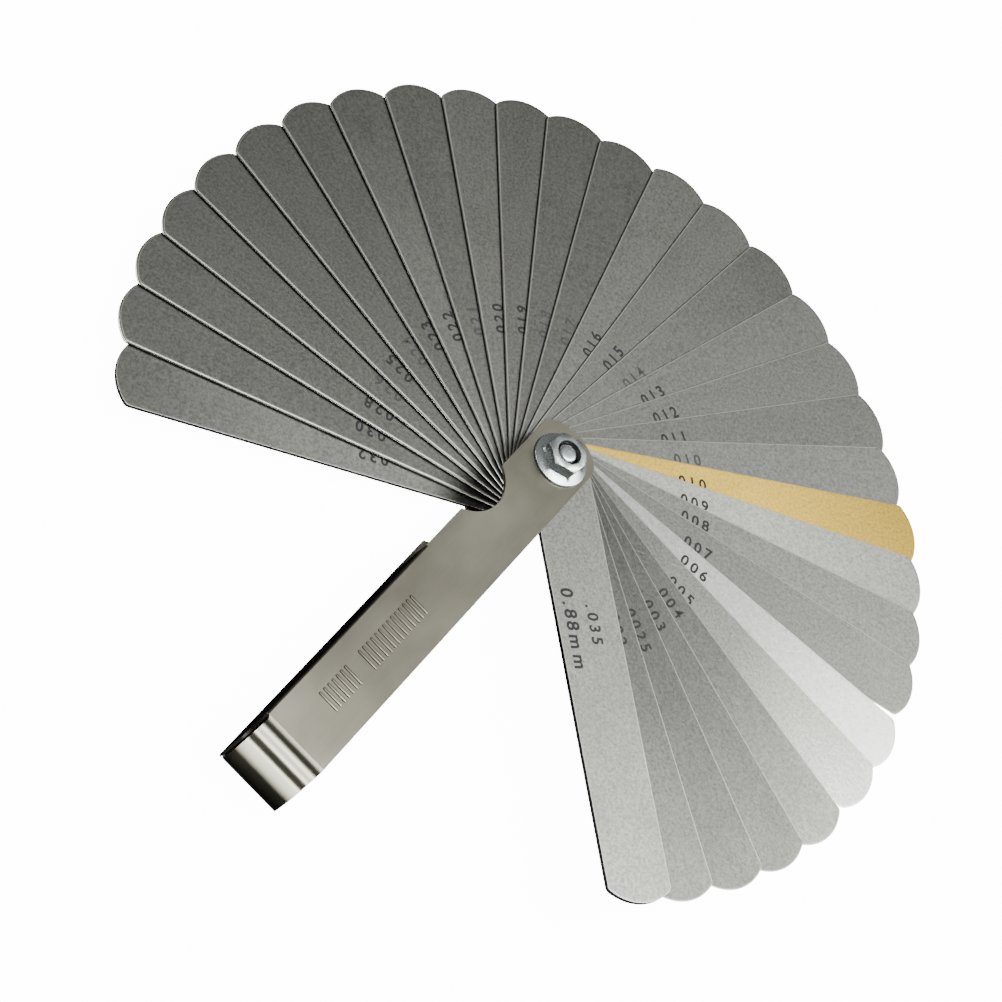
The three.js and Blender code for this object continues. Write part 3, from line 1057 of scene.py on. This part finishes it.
class GAUGE_OT_nut(bpy.types.Operator):
    """Turn the hexagon nut with its round flange"""

    bl_idname = "gauge.nut"
    bl_label = "Make nut"

    def execute(self, context):
        sizes = context.scene.gauge_fastener
        low, high = heights("flange_nut")
        flats = sizes.nut_flats / MM
        flange = sizes.flange_radius / MM
        rim, rise = sizes.flange_rim / MM, sizes.flange_rise / MM
        bore = sizes.shank_radius / MM + 0.1
        face = flats / 2 - 0.1
        corner = flats / math.sqrt(3)
        bm = bmesh.new()
        body = [
            level(bore + 0.25, low),
            level(flange - 0.15, low),
            level(flange - 0.04, low + 0.05),
            level(flange, low + 0.18),
            level(flange, low + rim - 0.2),
            level(flange - 0.07, low + rim - 0.05),
            level(flange - 0.22, low + rim),
            level((flange + corner) / 2, low + (rim + rise) / 2 - 0.02),
            level(corner + 0.12, low + rise),
            hex_side(flats, low + rise + 0.14, 0, face),
            hex_side(flats, high - 0.06, CROWN, face),
            hex_side(flats - 0.12, high, CROWN, face),
            level(face - 0.12, high),
            level(bore + 0.3, high),
            level(bore + 0.2, high - 0.1),
        ]
        rings = skin(bm, body)
        winding = threaded(bm, bore + sizes.thread_depth / MM, sizes, high - 0.35, low + 0.3)
        band(bm, rings[-1], winding[0], 1)
        band(bm, winding[-1], rings[0], 1)
        piece = bright_piece(context, "flange_nut_bright", bm)
        place(piece, CASE_TURN + sizes.nut_turn, ROOT_BODY, "plated_steel", "flange_nut")
        return {"FINISHED"}


class GAUGE_OT_screw(bpy.types.Operator):
    """Turn the pivot screw: hexagon head, shank and threaded end"""

    bl_idname = "gauge.screw"
    bl_label = "Make screw"

    def execute(self, context):
        sizes = context.scene.gauge_fastener
        low, high = heights("pivot_screw")
        nut_low = heights("flange_nut")[0]
        flats = sizes.head_flats / MM
        shank = sizes.shank_radius / MM
        face = flats / 2 - 0.15
        bm = bmesh.new()
        centre = bm.verts.new((0, 0, low))
        top = heights("case")[0] - 0.02
        rings = skin(
            bm,
            [
                level(face - 0.15, low),
                hex_side(flats - 0.12, low, -CROWN, face),
                hex_side(flats, low + 0.06, -CROWN, face),
                hex_side(flats, top - 0.08, 0, face),
                hex_side(flats - 0.16, top, 0, face),
                level(shank + 0.3, top),
                level(shank, top + 0.25),
                level(shank, nut_low - 0.4),
            ],
        )
        fan(bm, rings[0], centre)
        winding = threaded(bm, shank, sizes, nut_low - 0.2, high - 0.5)
        band(bm, rings[-1], winding[0], 1)
        end = skin(bm, [level(radius, high - down) for radius, down in SCREW_DOME])
        band(bm, winding[-1], end[0], 1)
        tip = bm.verts.new((0, 0, high))
        fan(bm, end[-1], tip)
        piece = bright_piece(context, "pivot_screw_bright", bm)
        place(piece, CASE_TURN, ROOT_BODY, "plated_steel", "pivot_screw")
        return {"FINISHED"}


def fan(bm, points, centre):
    """Triangles from a ring to one point."""
    for i, point in enumerate(points):
        bm.faces.new((point, points[(i + 1) % len(points)], centre))


# ---------------------------------------------------------------- studio


def soft_box(name, stand, size, watts):
    """A rectangular area light that looks at the object."""
    light = bpy.data.lights.new(name, "AREA")
    light.shape = "RECTANGLE"
    light.size, light.size_y = size
    light.energy = watts
    lamp = linked(name, light)
    lamp.location = stand
    sight = Vector(LIGHT_AIM) - Vector(stand)
    lamp.rotation_euler = sight.to_track_quat("-Z", "Y").to_euler()


def studio_sky():
    """A sky in level bands: a floor that glows towards -Y, a dark room and a pale ceiling."""
    world = bpy.data.worlds.new("studio_sky")
    world.use_nodes = True
    tree = world.node_tree

    def span(value, low, high):
        """How far a value has run from one number to another, from 0 to 1."""
        inputs = {"Value": value, "From Min": low, "From Max": high}
        return wired(tree, "ShaderNodeMapRange", inputs).outputs["Result"]

    direction = tree.nodes.new("ShaderNodeTexCoord").outputs["Generated"]
    split = wired(tree, "ShaderNodeSeparateXYZ", {"Vector": direction}).outputs
    ramp = wired(tree, "ShaderNodeValToRGB", {"Fac": span(split["Z"], -1, 1)})
    stops = ramp.color_ramp.elements
    stops.remove(stops[1])
    for index, (rise, glow) in enumerate(SKY_BANDS):
        stop = stops[0] if index == 0 else stops.new((rise + 1) / 2)
        stop.position = (rise + 1) / 2
        stop.color = (glow, glow, glow, 1)
    inputs = {0: span(split["Y"], 0.1, -0.3), 1: span(split["Z"], -0.02, 0.02)}
    lit = wired(tree, "ShaderNodeMath", inputs, operation="MAXIMUM")
    inputs = {0: lit.outputs["Value"], 1: SKY_STRENGTH}
    strength = wired(tree, "ShaderNodeMath", inputs, operation="MULTIPLY")
    background = tree.nodes["Background"]
    tree.links.new(ramp.outputs["Color"], background.inputs["Color"])
    tree.links.new(strength.outputs["Value"], background.inputs["Strength"])
    return world


class GAUGE_OT_stage(bpy.types.Operator):
    """Set out the floor, the soft boxes, the sky and the camera"""

    bl_idname = "gauge.stage"
    bl_label = "Set stage"

    def execute(self, context):
        settings = context.scene.gauge_stage
        lens = bpy.data.cameras.new("camera")
        lens.lens = settings.focal_length
        lens.sensor_width = 36
        lens.clip_start = 0.01
        camera = linked("camera", lens)
        stand, aim = Vector(settings.camera_place), Vector(settings.camera_aim)
        facing = (aim - stand).to_track_quat("-Z", "Y").to_matrix().to_4x4()
        roll = Matrix.Rotation(settings.camera_roll, 4, "Z")
        camera.matrix_world = Matrix.Translation(stand) @ facing @ roll
        context.scene.camera = camera

        bm = bmesh.new()
        bmesh.ops.create_grid(bm, x_segments=8, y_segments=8, size=FLOOR_SPAN)
        floor = finished("studio_floor", bm, [floor_finish(colour_of(context, "floor"))])
        floor.visible_glossy = False
        context.scene.world = studio_sky()
        for box in SOFT_BOXES:
            soft_box(*box)
        return {"FINISHED"}


# ---------------------------------------------------------------- add-on


class GAUGE_PT_panel(bpy.types.Panel):
    """Buttons for each piece of the gauge and for the studio"""

    bl_idname = "GAUGE_PT_panel"
    bl_label = "Feeler Gauge"
    bl_space_type = "VIEW_3D"
    bl_region_type = "UI"
    bl_category = "Feeler Gauge"

    def draw(self, context):
        for operator in OPERATORS:
            self.layout.operator(operator.bl_idname)
        for name in SETTINGS:
            box = self.layout.box()
            group = getattr(context.scene, name)
            for key in group.bl_rna.properties.keys():
                if key not in {"rna_type", "name"}:
                    box.prop(group, key)


OPERATORS = (
    GAUGE_OT_stage,
    GAUGE_OT_leaves,
    GAUGE_OT_marks,
    GAUGE_OT_case,
    GAUGE_OT_bars,
    GAUGE_OT_screw,
    GAUGE_OT_nut,
)
SETTINGS = {
    "gauge_leaf": GaugeLeafSettings,
    "gauge_case": GaugeCaseSettings,
    "gauge_fastener": GaugeFastenerSettings,
    "gauge_colours": GaugeColours,
    "gauge_stage": GaugeStageSettings,
}
CLASSES = (*SETTINGS.values(), *OPERATORS, GAUGE_PT_panel)


def register():
    for made in CLASSES:
        bpy.utils.register_class(made)
    for name, group in SETTINGS.items():
        setattr(bpy.types.Scene, name, bpy.props.PointerProperty(type=group))


def unregister():
    for name in SETTINGS:
        delattr(bpy.types.Scene, name)
    for made in reversed(CLASSES):
        bpy.utils.unregister_class(made)


def main():
    register()
    bpy.ops.gauge.stage()
    bpy.ops.gauge.leaves()
    bpy.ops.gauge.marks()
    bpy.ops.gauge.case()
    bpy.ops.gauge.bars()
    bpy.ops.gauge.screw()
    bpy.ops.gauge.nut()


if __name__ == "__main__":
    main()
